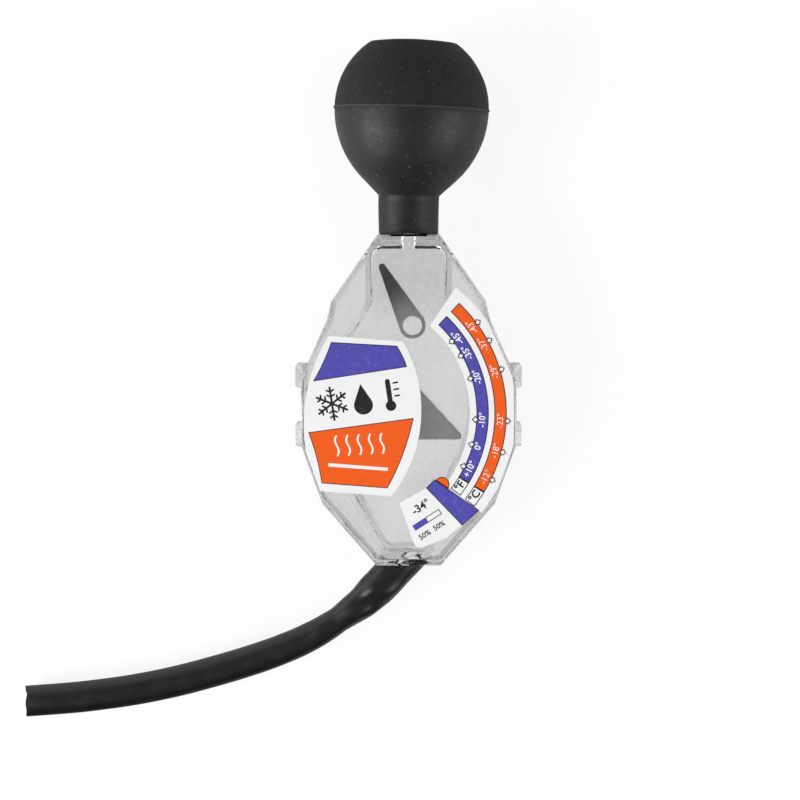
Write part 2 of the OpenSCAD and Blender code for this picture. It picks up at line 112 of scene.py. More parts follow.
def sides(description, default):
    """How many flat sides a round piece has."""
    return IntProperty(name="Sections", description=description, default=default, min=12)


def colour(name, of, default):
    """A colour in linear light."""
    settings = {"subtype": "COLOR", "min": 0, "max": 1, "size": 3}
    return FloatVectorProperty(name=name, description=f"Colour of the {of}", default=default, **settings)


class BulbSettings(PropertyGroup):
    """Sizes and colours of the squeeze bulb."""

    radius: length("Radius", "Radius of the bulb at its mould line", 24.6)
    top_radius: length("Upper profile", "Radius of the upper half's side profile", 25.6)
    low_radius: length("Lower profile", "Radius of the lower half's side profile", 31)
    middle: length("Middle", "Distance of the mould line from the housing's middle", 96)
    top_height: length("Top", "Height of the middle of the top over the mould line", 21.9)
    dome_radius: length("Dome", "Radius of the low dome on top", 93)
    edge_radius: length("Top edge", "Radius of the edge round the dome", 0.8)
    cone: degrees("Cone", "Lean of the cone over the neck, from the bulb's axis", 46)
    bead_out: length("Mould line", "How far the mould line stands out", 0.3)
    bead_width: length("Mould line width", "Width of the mould line", 0.8)
    bead_wave: length("Mould line wave", "How far the mould line wanders from its plane", 0.18)
    wall: length("Wall", "Thickness of the bulb's wall", 2.6)
    neck_radius: length("Neck", "Outer radius of the neck at its end", 9.55)
    neck_top: length("Neck top", "Outer radius of the neck under the bulb", 9.75)
    neck_step: length("Neck step", "Height of the step between bulb and neck", 0.3)
    lean: degrees("Lean", "How far the bulb leans over on its neck", 1.8)
    neck_end: length("Neck end", "Distance of the neck's end from the housing's middle", 56.5)
    bore_radius: length("Bore", "Radius of the neck's bore", 6.3)
    unevenness: length("Unevenness", "Depth of the soft dimples in the moulding", 0.16)
    dimple: length("Dimple", "Size of the soft dimples in the moulding", 9)
    rubber: colour("Rubber", "upper half", (0.0095, 0.0092, 0.0090))
    # Colour of the painted sheen that makes the lower half paler, standing in for reflections on its smoother
    # rubber; it also gives the random mottle
    painted_sheen_and_pale_tone: colour("Sheen and pale tone", "paler lower half", (0.019, 0.019, 0.018))
    speck: colour("Specks", "dust in the pores", (0.26, 0.26, 0.25))
    sections: sides("Flat sides round the bulb", 96)


class HoseSettings(PropertyGroup):
    """Sizes and colours of the hose."""

    radius: length("Radius", "Outer radius of the hose", 5.05)
    wall: length("Wall", "Thickness of the hose's wall", 1.75)
    sleeve_radius: length("Sleeve", "Outer radius over the spigot", 5.95)
    sleeve_length: length("Sleeve length", "Length of the stretch that is wide all along", 13)
    waist: length("Waist", "Distance of the narrowest place from the housing", 29)
    waist_radius: length("Waist radius", "Outer radius at the narrowest place", 4.25)
    recovery: length("Recovery", "How soon the hose is as wide again behind its waist", 12)
    straight: length("Straight", "Length of the stretch that is held straight", 16)
    exit_x: length("Exit across", "Where the hose leaves the bottom edge, across the housing", -1.5)
    exit_y: length("Exit height", "Height of the housing's bottom edge", -49.4)
    slope: degrees("Slope", "Slope of the spigot under the horizontal", 46)
    lip: length("Lip", "How much narrower the hose is at the housing", 0.2)
    lip_length: length("Lip length", "Length of the stretch that narrows towards the housing", 3)
    pinch: length("Pinch", "Depth of the crease behind the spigot", 0.9)
    cut: length("Cut", "Length of the uneven stretch at the cut end", 4)
    rubber: colour("Rubber", "hose", (0.0032, 0.0032, 0.0034))
    worn: colour("Worn rubber", "paler streaks", (0.011, 0.011, 0.0105))
    sections: sides("Flat sides round the hose", 40)


class HousingSettings(PropertyGroup):
    """Finish of the clear housing."""

    thin: colour("Tint", "plastic where it is clearest", (0.845, 0.848, 0.845))
    thick: colour("Cloudy tint", "plastic where it is cloudiest", (0.775, 0.778, 0.775))
    neck: colour("Neck tint", "plastic in the neck of the chamber", (0.72, 0.722, 0.72))
    lug: colour("Lug tint", "small lugs on the sides", (0.93, 0.932, 0.93))
    roughness: share("Roughness", "Roughness of the moulded plastic", 0.06)
    index: number("Index", "Index of refraction of the plastic", 1.45, min=1)


class MechanismSettings(PropertyGroup):
    """Colours of the pointer and the level arm."""

    pointer: colour("Pointer", "float pointer", (0.48, 0.48, 0.48))
    arm: colour("Arm", "level arm", (0.006, 0.006, 0.006))
    # Colour of the arm near its eye and in its flecks
    arm_paler: colour("Paler arm", "level arm towards its eye", (0.42, 0.42, 0.42))
    slug: colour("Slug", "counterweight", (0.62, 0.44, 0.17))
    pin: colour("Pin", "pointer's pin", (0.58, 0.58, 0.6))


class LabelSettings(PropertyGroup):
    """Sizes and colours of the printed labels."""

    film: colour("Film", "label film", (0.88, 0.88, 0.89))
    violet: colour("Violet", "violet ink", (0.075, 0.066, 0.40))
    orange: colour("Orange", "orange ink", (0.87, 0.108, 0.006))
    black: colour("Black", "black ink", (0.012, 0.012, 0.014))
    white: colour("White", "white ink", (0.88, 0.88, 0.88))
    film_thickness: length("Film thickness", "Thickness of the label film", 0.2)
    ink: length("Ink", "Thickness of one layer of ink", 0.02)
    edge: length("Edge line", "Width of the dark line round a printed field", 0.27)
    bold_edge: length("Bold edge line", "Width of the dark line round a band or a mark", 0.3)


class ScaleSettings(PropertyGroup):
    """Sizes of the two printed scales, measured round the pointer's pin."""

    inner_low: length("Inner band", "Inner radius of the violet band", 38.8)
    inner_high: length("Inner band's outside", "Outer radius of the violet band", 42.7)
    outer_low: length("Outer band", "Inner radius of the orange band", 44.5)
    outer_high: length("Outer band's outside", "Outer radius of the orange band", 48.4)
    inner_marks: length("Inner marks", "Radius of the diamonds on the violet band", 38.5)
    outer_marks: length("Outer marks", "Radius of the diamonds on the orange band", 48.75)
    mark: length("Mark", "Half the width of a diamond", 1.15)
    numeral: length("Numeral", "Height of a line of numerals", 2.8)
    unit: length("Unit", "Height of the letter that names the unit", 3.5)
    top: degrees("Top", "Upper end of both bands", 46.7)
    low: degrees("Low", "Lower end of both bands", -31.2)
    unit_low: degrees("Unit box", "Lower end of the boxes that hold the units", -37.8)


class StageSettings(PropertyGroup):
    """Lens, floor and light."""

    lens: number("Lens", "Focal length in millimetres", 97.65, min=1)
    floor: length("Floor", "Width of the floor", 4000)
    sky: share("Sky", "Strength of the light from straight above", 0.32)
    back: share("Back", "Strength of the light from the horizon behind the bulb", 1.0)
    front: share("Front", "Strength of the light from the horizon in front of the hose", 0.1)
    left: number("Left", "Strength of the light from the left horizon", 1.6, min=0)
    right: number("Right", "Strength of the light from the right horizon", 0.3, min=0)
    shadow: share("Shadow", "How much of its shadow the floor shows", 0.25)
    lift: share("Lift", "How much the floor glows by itself", 0.3)
    left_lamp: number("Left lamp", "Power of the left lamp", 8.2, unit="POWER")
    right_lamp: number("Right lamp", "Power of the right lamp", 5.5, unit="POWER")


class Value:
    """A socket of a finish, whose sums and products become nodes."""

    def __init__(self, finish, socket):
        self.finish = finish
        self.socket = socket

    def math(self, operation, *others):
        """What a Math node makes of this value and others."""
        return self.finish.node("Math", dict(enumerate([self, *others])), {"operation": operation})

    def sibling(self, name):
        """Another output of the same node."""
        return Value(self.finish, self.socket.node.outputs[name])

    def __add__(self, other):
        return self.math("ADD", other)

    def __sub__(self, other):
        return self.math("SUBTRACT", other)

    def __mul__(self, other):
        return self.math("MULTIPLY", other)

    def __rsub__(self, other):
        return self.finish.node("Math", {0: other, 1: self}, {"operation": "SUBTRACT"})

    __radd__ = __add__
    __rmul__ = __mul__

    def maximum(self, other):
        return self.math("MAXIMUM", other)

    def soft_step(self, low, high):
        """0 below low and 1 above high, with a smooth rise between them."""
        sockets = {"Value": self, "From Min": low, "From Max": high}
        return self.finish.node("MapRange", sockets, {"interpolation_type": "SMOOTHSTEP"})


class Finish:
    """A material or a world, written as expressions on its nodes."""

    def __init__(self, owner):
        owner.use_nodes = True
        self.owner = owner
        self.tree = owner.node_tree
        self.tree.nodes.clear()

    def node(self, kind, sockets=None, settings=None, out=0):
        """Adds a node, sets it up, fills its sockets and returns one of its outputs."""
        made = self.tree.nodes.new("ShaderNode" + kind)
        for key, value in (settings or {}).items():
            setattr(made, key, value)
        for key, value in (sockets or {}).items():
            if isinstance(value, Value):
                self.tree.links.new(value.socket, made.inputs[key])
            else:
                made.inputs[key].default_value = value
        return Value(self, made.outputs[out]) if made.outputs else None

    def mix(self, factor, a, b):
        """A colour between a and b."""
        a, b = (c if isinstance(c, Value) else (*c, 1) for c in (a, b))
        return self.node("Mix", {0: factor, 6: a, 7: b}, {"data_type": "RGBA"}, 2)

    def place(self):
        """Where a point lies in the tester's own frame, in millimetres."""
        sockets = {"Vector": self.node("TexCoord").sibling("Object"), "Scale": (MM, MM, MM)}
        sockets |= {"Location": MIDDLE, "Rotation": (TILT, 0, 0)}
        return self.node("Mapping", sockets, {"vector_type": "TEXTURE"})

    def axes(self, vector):
        """The three parts of a vector."""
        x = self.node("SeparateXYZ", {0: vector})
        return x, x.sibling("Y"), x.sibling("Z")

    def noise(self, vector, scale, detail=2.0, roughness=0.5):
        """A smooth noise between 0 and 1."""
        sockets = {"Vector": vector, "Scale": scale, "Detail": detail, "Roughness": roughness}
        return self.node("TexNoise", sockets)

    def stretched(self, vector, scale):
        """The vector with each part scaled by its own number."""
        return self.node("Mapping", {"Vector": vector, "Scale": scale})

    def bump(self, height, distance, strength=1.0):
        """A normal that follows a height between 0 and 1, as deep as distance in millimetres."""
        return self.node("Bump", {"Height": height, "Distance": distance * MM, "Strength": strength})

    def surface(self, **sockets):
        """Ends a material in one principled shader; an underscore in a name stands for a space."""
        spaced = {key.replace("_", " "): value for key, value in sockets.items()}
        self.end(self.node("BsdfPrincipled", spaced))
        return self.owner

    def end(self, shader):
        """Links a shader to the output."""
        kind = "OutputWorld" if isinstance(self.owner, bpy.types.World) else "OutputMaterial"
        self.node(kind, {"Surface": shader})


def material(name):
    """A new material, ready for its nodes."""
    return Finish(bpy.data.materials.new(name))


def bulb_rubber(s):
    """Moulded rubber, dull over the mould line and smoother under it, with dust in its pores and a painted sheen
    that makes its lower half paler.
    """
    f = material("bulb_rubber")
    at = f.place()
    x, y, _ = f.axes(at)
    middle = s.middle / MM
    over_line = y + math.tan(s.lean) * x - middle
    low_half = 1 - over_line.soft_step(-2.0, 0.3)
    on_ball = y.soft_step(middle - 24, middle - 8)
    # A paler line along the mould line, in the colour of the specks
    paler_mould_line = 1 - over_line.math("ABSOLUTE").soft_step(0.15, 0.5)
    mottle = f.noise(at, 0.22, 4, 0.6).soft_step(0.3, 0.72)
    smoke = f.noise(f.stretched(at, (1, 0.35, 1)), 0.09, 2).soft_step(0.35, 0.7)
    blotch = f.noise(at, 0.75, 3, 0.65).soft_step(0.38, 0.75)
    specks = f.noise(at, 1.0, 2, 0.7).soft_step(0.705, 0.745)
    grain = f.noise(at, 5.5, 2)
    # Painted sheen: the lower half of the ball is paler, standing in for reflections on its smoother rubber
    painted_sheen_and_pale_tone = low_half * on_ball * (0.4 + 0.6 * smoke)
    base = f.mix(painted_sheen_and_pale_tone.maximum(mottle * 0.35) + blotch * 0.45, s.rubber, s.painted_sheen_and_pale_tone)
    base = f.mix((specks * 0.8).maximum(paler_mould_line * 0.11), base, s.speck)
    roughness = 0.74 - 0.3 * low_half + 0.1 * mottle - 0.08 * blotch
    normal = f.bump(grain * 0.5 + blotch * 0.6 + specks * 0.8, 0.06, 0.6)
    return f.surface(Base_Color=base, Roughness=roughness, Normal=normal, Specular_IOR_Level=0.3)


def hose_rubber(s):
    """Extruded rubber with faint drawn lines along the hose."""
    f = material("hose_rubber")
    straight = f.node("Attribute", settings={"attribute_name": "straight"}, out=1)
    drawn = f.noise(f.stretched(straight, (0.05, 1.2, 1.2)), 1.0, 3)
    mottle = f.noise(straight, 0.22, 3).soft_step(0.35, 0.75)
    grain = f.noise(straight, 4.5, 2)
    base = f.mix(drawn.soft_step(0.45, 0.8) * 0.55 + mottle * 0.25, s.rubber, s.worn)
    roughness = 0.26 + 0.1 * mottle + 0.06 * drawn
    normal = f.bump(drawn * 0.7 + grain * 0.3, 0.05, 0.5)
    return f.surface(Base_Color=base, Roughness=roughness, Normal=normal)


def clear_plastic(s):
    """Clear moulded plastic, hazy in patches and cloudiest in the neck, with flow waves in its surface."""
    f = material("clear_plastic")
    at = f.place()
    x, y, _ = f.axes(at)
    side = x.math("ABSOLUTE")
    patch = f.noise(f.stretched(at, (1, 0.6, 1)), 0.05, 3).soft_step(0.3, 0.7)
    neck = y.soft_step(22, 40) * (1 - side.soft_step(9, 15))
    haze = f.noise(at, 0.7, 3).soft_step(0.35, 0.65)
    tint = f.mix(patch * 0.6 + haze * 0.4, s.thin, s.thick)
    tint = f.mix(neck * (0.6 + 0.4 * haze), tint, s.neck)
    tint = f.mix(side.soft_step(33.6, 34.4), tint, s.lug)
    flow = f.noise(f.stretched(at, (1, 0.45, 1)), 0.16, 2)
    grain = f.noise(at, 1.7, 2)
    roughness = s.roughness * (0.6 + 0.9 * grain)
    normal = f.bump(flow + grain * 0.08, 0.24, 0.55)
    clear = {"Transmission_Weight": 1.0, "IOR": s.index}
    return f.surface(Base_Color=tint, Roughness=roughness, Normal=normal, **clear)


def moulded_plastic(name, rgb, roughness, grain_depth):
    """Opaque moulded plastic with a fine grain and slight flow marks."""
    f = material(name)
    at = f.place()
    flow = f.noise(f.stretched(at, (0.25, 1, 1)), 0.35, 3)
    grain = f.noise(at, 3.5, 2)
    base = f.mix(flow.soft_step(0.3, 0.75) * 0.4, rgb, [min(1.0, c * 1.35) for c in rgb])
    normal = f.bump(grain * 0.6 + flow * 0.4, grain_depth, 0.6)
    return f.surface(Base_Color=base, Roughness=roughness + 0.12 * grain, Normal=normal)


def arm_plastic(s):
    """Black moulded plastic, paler towards the arm's eye and darker towards its tip."""
    f = material("black_plastic")
    at = f.place()
    x, y, _ = f.axes(at)
    eye = LYING.inverted() @ STUD / MM
    dx = x - eye.x
    dy = y - eye.y
    far = (dx * dx + dy * dy).math("SQRT").soft_step(1.5, 15.0)
    fleck = f.noise(at, 1.6, 3, 0.65)
    # Paler towards the arm's eye and darker towards its tip, with random flecks
    base = f.mix((1 - far) * 0.95 + (fleck - 0.5) * 0.5, s.arm, s.arm_paler)
    normal = f.bump(fleck, 0.05, 0.6)
    return f.surface(Base_Color=base, Roughness=0.34 + 0.2 * fleck, Normal=normal)


def turned_metal(name, rgb, roughness):
    """Turned metal with fine lathe marks round its axis."""
    f = material(name)
    at = f.place()
    marks = f.noise(f.stretched(at, (0.3, 0.3, 9)), 1.0, 2)
    base = f.mix(marks.soft_step(0.35, 0.7) * 0.5, rgb, [c * 0.72 for c in rgb])
    normal = f.bump(marks, 0.02, 0.5)
    return f.surface(Base_Color=base, Roughness=roughness + 0.15 * marks, Metallic=1.0, Normal=normal)


def label_film(s):
    """Matt white film with a faint orange peel from the glue below."""
    f = material("label_film")
    at = f.place()
    peel = f.noise(at, 0.55, 2)
    cloud = f.noise(at, 0.09, 3)
    base = f.mix(cloud.soft_step(0.35, 0.75) * 0.35, s.film, [c * 0.94 for c in s.film])
    normal = f.bump(peel, 0.03, 0.5)
    return f.surface(Base_Color=base, Roughness=0.6 + 0.1 * peel, Normal=normal, Specular_IOR_Level=0.25)


def ink(name, rgb, wear):
    """Printed ink, thin enough in places to let a little of the film show."""
    f = material(name)
    at = f.place()
    coarse = f.noise(at, 0.5, 4, 0.6).soft_step(0.5, 0.8)
    fine = f.noise(at, 3.2, 2).soft_step(0.45, 0.8)
    paler = [c + (0.8 - c) * 0.4 for c in rgb]
    base = f.mix((coarse * 0.6 + fine * 0.4) * wear, rgb, paler)
    return f.surface(Base_Color=base, Roughness=0.6 + 0.1 * fine, Specular_IOR_Level=0.2)


def flat(x, y):
    """A point of the seam plane, which the tester's own frame lies in."""
    return Vector((x, y, 0))


def mm(x, y):
    """A point of the seam plane, given in millimetres."""
    return flat(x, y) * MM


def heading(angle):
    """The direction at an angle in the seam plane."""
    return flat(math.cos(angle), math.sin(angle))


def polar(radius, angle, centre=PIVOT):
    """A point round the pointer's pin, or round another centre, with its angle in radians."""
    return centre + heading(angle) * radius


def arc(centre, radius, start, end, steps):
    """Points along an arc, with its ends' angles in radians."""
    return [polar(radius, start + (end - start) * i / steps, centre) for i in range(steps + 1)]


def bowed(a, b, rise, steps=8):
    """Points from a towards b along a side that bows out to its right."""
    along = (b - a).normalized()
    out = flat(along.y, -along.x)
    return [a.lerp(b, i / steps) + out * rise * 4 * (i / steps) * (1 - i / steps) for i in range(steps)]


def bell(x, place=0.0, reach=1.0):
    """A soft bump, 1 high at a place and almost gone at twice its reach."""
    return math.exp(-(((x - place) / reach) ** 2))


def pick(*pieces):
    """Selects these pieces alone, or nothing, and makes the first of them the active one."""
    bpy.ops.object.select_all(action="DESELECT")
    for piece in pieces:
        piece.select_set(True)
    if pieces:
        bpy.context.view_layer.objects.active = pieces[0]


def added(make, name, **settings):
    """A new object that one of Blender's operators adds."""
    pick()
    make(**settings)
    piece = bpy.context.object
    piece.name = piece.data.name = name
    return piece


def select_mesh():
    """Selects the whole mesh in edit mode."""
    bpy.ops.mesh.select_all(action="SELECT")


def face_out():
    """Turns all faces of a closed mesh outwards, and leaves edit mode."""
    select_mesh()
    bpy.ops.mesh.normals_make_consistent(inside=False)
    bpy.ops.object.mode_set(mode="OBJECT")


def drawn(name, points):
    """A new piece with one line of edges through these points, selected in edit mode."""
    piece = added(bpy.ops.mesh.primitive_plane_add, name, size=MM)
    bpy.ops.object.mode_set(mode="EDIT")
    bpy.ops.mesh.merge(type="CENTER")
    bpy.ops.transform.translate(value=points[0])
    for here, there in zip(points, points[1:]):
        bpy.ops.mesh.extrude_region_move(TRANSFORM_OT_translate={"value": there - here})
    select_mesh()
    return piece


def raise_faces(height):
    """Turns the selected flat faces into a closed solid of this height, and leaves edit mode."""
    bpy.ops.mesh.extrude_region_move(TRANSFORM_OT_translate={"value": (0, 0, height)})
    face_out()


def outline(points, height, inset=0.0):
    """A thin solid with this outline, moved in by inset, standing on the seam plane."""
    piece = drawn("ink", points)
    bpy.ops.mesh.edge_face_add()
    if inset:
        bpy.ops.mesh.inset(thickness=inset)
        bpy.ops.mesh.select_all(action="INVERT")
        bpy.ops.mesh.delete(type="VERT")
        select_mesh()
    raise_faces(height)
    return piece


def band(low, high, start, end, height, inset=0.0):
    """A thin ring sector round the pointer's pin, moved in by inset on every side."""
    low, high = low + inset, high - inset
    turn_in = inset / high
    start, end = start + turn_in, end - turn_in
    piece = drawn("ink", [polar(low, start), polar(high, start)])
    steps = max(2, round((end - start) / BAND_STEP))
    bpy.ops.mesh.spin(steps=steps, angle=end - start, center=PIVOT, axis=(0, 0, -1))
    select_mesh()
    raise_faces(height)
    return piece


def numeral(words, size, at, turn, height, weight):
    """A line of numerals as a thin solid, centred on a place and turned by an angle."""
    line = added(bpy.ops.object.text_add, "ink").data
    line.body = words
    line.size = size
    line.align_x = line.align_y = "CENTER"
    line.offset = weight * size
    line.extrude = height / 2
    line.resolution_u = 4
    bpy.ops.object.convert(target="MESH")
    piece = bpy.context.object
    piece.rotation_euler.z = turn
    piece.location = at + Vector((0, 0, height / 2))
    bpy.ops.object.transform_apply()
    return piece


def join(name, pieces):
    """Several pieces as one."""
    pick(*pieces)
    if len(pieces) > 1:
        bpy.ops.object.join()
    pieces[0].name = pieces[0].data.name = name
    return pieces[0]


def shift(piece, change):
    """Applies a change of place to a piece's mesh."""
    pick(piece)
    piece.matrix_world = change
    bpy.ops.object.transform_apply()


def lay(piece, height=0.0):
    """Moves a piece from the tester's own frame to where the tester lies."""
    shift(piece, LYING @ Matrix.Translation((0, 0, height)))


def coat(piece, finish):
    """Gives a piece its finish."""
    piece.data.materials.clear()
    piece.data.materials.append(finish)


def dress(piece, finish):
    """Gives a new piece its finish and its body."""
    coat(piece, finish)
    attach(piece, TESTER)


def dress_node(node, finish):
    """Gives a node of the frame its finish."""
    coat(frame["nodes"][node], finish)


def apply_modifier(piece, kind, **settings):
    """Adds a modifier to a piece, sets it up and applies it."""
    bpy.context.view_layer.objects.active = piece
    modifier = piece.modifiers.new(kind.title(), kind)
    for key, value in settings.items():
        setattr(modifier, key, value)
    bpy.ops.object.modifier_apply(modifier=modifier.name)


class HYDROMETER_OT_bulb(Operator):
    """Models the squeeze bulb"""

    bl_idname = "hydrometer.bulb"
    bl_label = "Squeeze bulb"

    # Steps of the profile along the dome, its edge, the side of each half, the cone and the neck
    DOME, EDGE, SIDE, CONE, NECK = 5, 4, 22, 4, 6
    # Flat share of the mould line's half width, and the share of the lower radius that stays over the bend
    BEAD_FLAT, OVER_BEND = 0.45, 0.72

    def skin(self, s, inside, bead, neck):
        """One skin of the bulb, from the middle of its dome down to its neck."""
        dome = flat(0, s.top_height - s.dome_radius)
        top = flat(s.radius - s.top_radius, 0)
        low = flat(s.radius - s.low_radius, 0)
        radii = (s.dome_radius, s.top_radius, s.low_radius)
        dome_radius, top_radius, low_radius = (radius - inside for radius in radii)
        crossings = intersect_sphere_sphere_2d(
            dome.to_2d(), dome_radius - s.edge_radius, top.to_2d(), top_radius - s.edge_radius
        )
        edge = max(crossings, key=lambda point: point.x).to_3d()
        start, end = (math.atan2(edge.y - centre.y, edge.x - centre.x) for centre in (dome, top))
        half = s.bead_width / 2
        points = arc(dome, dome_radius, QUARTER, start, self.DOME)
        points += arc(edge, s.edge_radius, start, end, self.EDGE)[1:]
        points += arc(top, top_radius, end, math.asin(half / top_radius), self.SIDE)[1:]
        if bead:
            points += [flat(s.radius + bead, half * side) for side in (self.BEAD_FLAT, -self.BEAD_FLAT)]
        points += arc(low, low_radius, -math.asin(half / low_radius), -s.cone, self.SIDE)
        foot = points[-1]
        end = flat(neck, foot.y - (foot.x - neck) / math.tan(s.cone))
        return points + [foot.lerp(end, i / self.CONE) for i in range(1, self.CONE + 1)]

    def execute(self, context):
        s = context.scene.hydrometer_bulb
        neck_y = s.neck_end - s.middle
        outer = self.skin(s, 0, s.bead_out, s.neck_top + s.neck_step)
        join_y = outer[-1].y - s.neck_step
        for i in range(self.NECK + 1):
            down = i / self.NECK
            radius = s.neck_top + (s.neck_radius - s.neck_top) * down
            outer.append(flat(radius, join_y + (neck_y - join_y) * down))
        inner = self.skin(s, s.wall, 0, s.bore_radius)
        profile = outer + [flat(s.bore_radius, neck_y)] + inner[::-1]
        middle = flat(0, s.middle)
        bulb = drawn("bulb", [point + middle for point in profile])
        bpy.ops.mesh.spin(steps=s.sections, angle=2 * math.pi, center=middle, axis=(0, 1, 0))
        select_mesh()
        bpy.ops.mesh.remove_doubles(threshold=MERGE)
        face_out()
        self.bend(bulb, s)
        dimples = bpy.data.textures.new("dimples", "CLOUDS")
        dimples.noise_scale = s.dimple
        apply_modifier(bulb, "DISPLACE", texture=dimples, strength=s.unevenness, texture_coords="LOCAL")
        lay(bulb)
        bpy.ops.object.shade_smooth_by_angle(angle=SMOOTH)
        dress(bulb, bulb_rubber(s))
        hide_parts("squeeze_bulb")
        return {"FINISHED"}

    def bend(self, bulb, s):
        """Lets the mould line wander from its plane, and leans the bulb over on its neck."""
        neck = s.middle - s.low_radius * self.OVER_BEND - s.neck_end
        foot = flat(0, s.neck_end + neck / 2)
        for vertex in bulb.data.vertices:
            x, _, z = vertex.co
            if math.hypot(x, z) > s.radius + s.bead_out / 4:
                turn = math.atan2(z, x)
                vertex.co.y += s.bead_wave * (math.sin(3 * turn + 0.6) + 0.5 * math.sin(7 * turn))
            up = min(1, max(0, (vertex.co.y - s.neck_end) / neck))
            lean = Matrix.Rotation(-s.lean * up * up * (3 - 2 * up), 3, "Z")
            vertex.co = foot + lean @ (vertex.co - foot)


# Route of the hose over the floor behind its spigot, in millimetres
HOSE_ROUTE = [
    (-17, -93, 10.3), (-22, -96.7, 9.6), (-27.5, -100.4, 8.9), (-34, -104, 8), (-40.5, -106.9, 7.2),
    (-47, -109.4, 6.5), (-53.5, -111.6, 5.9), (-60, -113.6, 5.5), (-67, -115.6, 5.2), (-73.5, -117.3, 5.1),
    (-80, -118.8, 5.1), (-86.5, -120.1, 5.1), (-93, -121.2, 5.1), (-99.5, -122.1, 5.1), (-106, -122.9, 5.1),
    (-112.5, -123.5, 5.1), (-119, -124, 5.1), (-124.7, -124.4, 5.1),
]


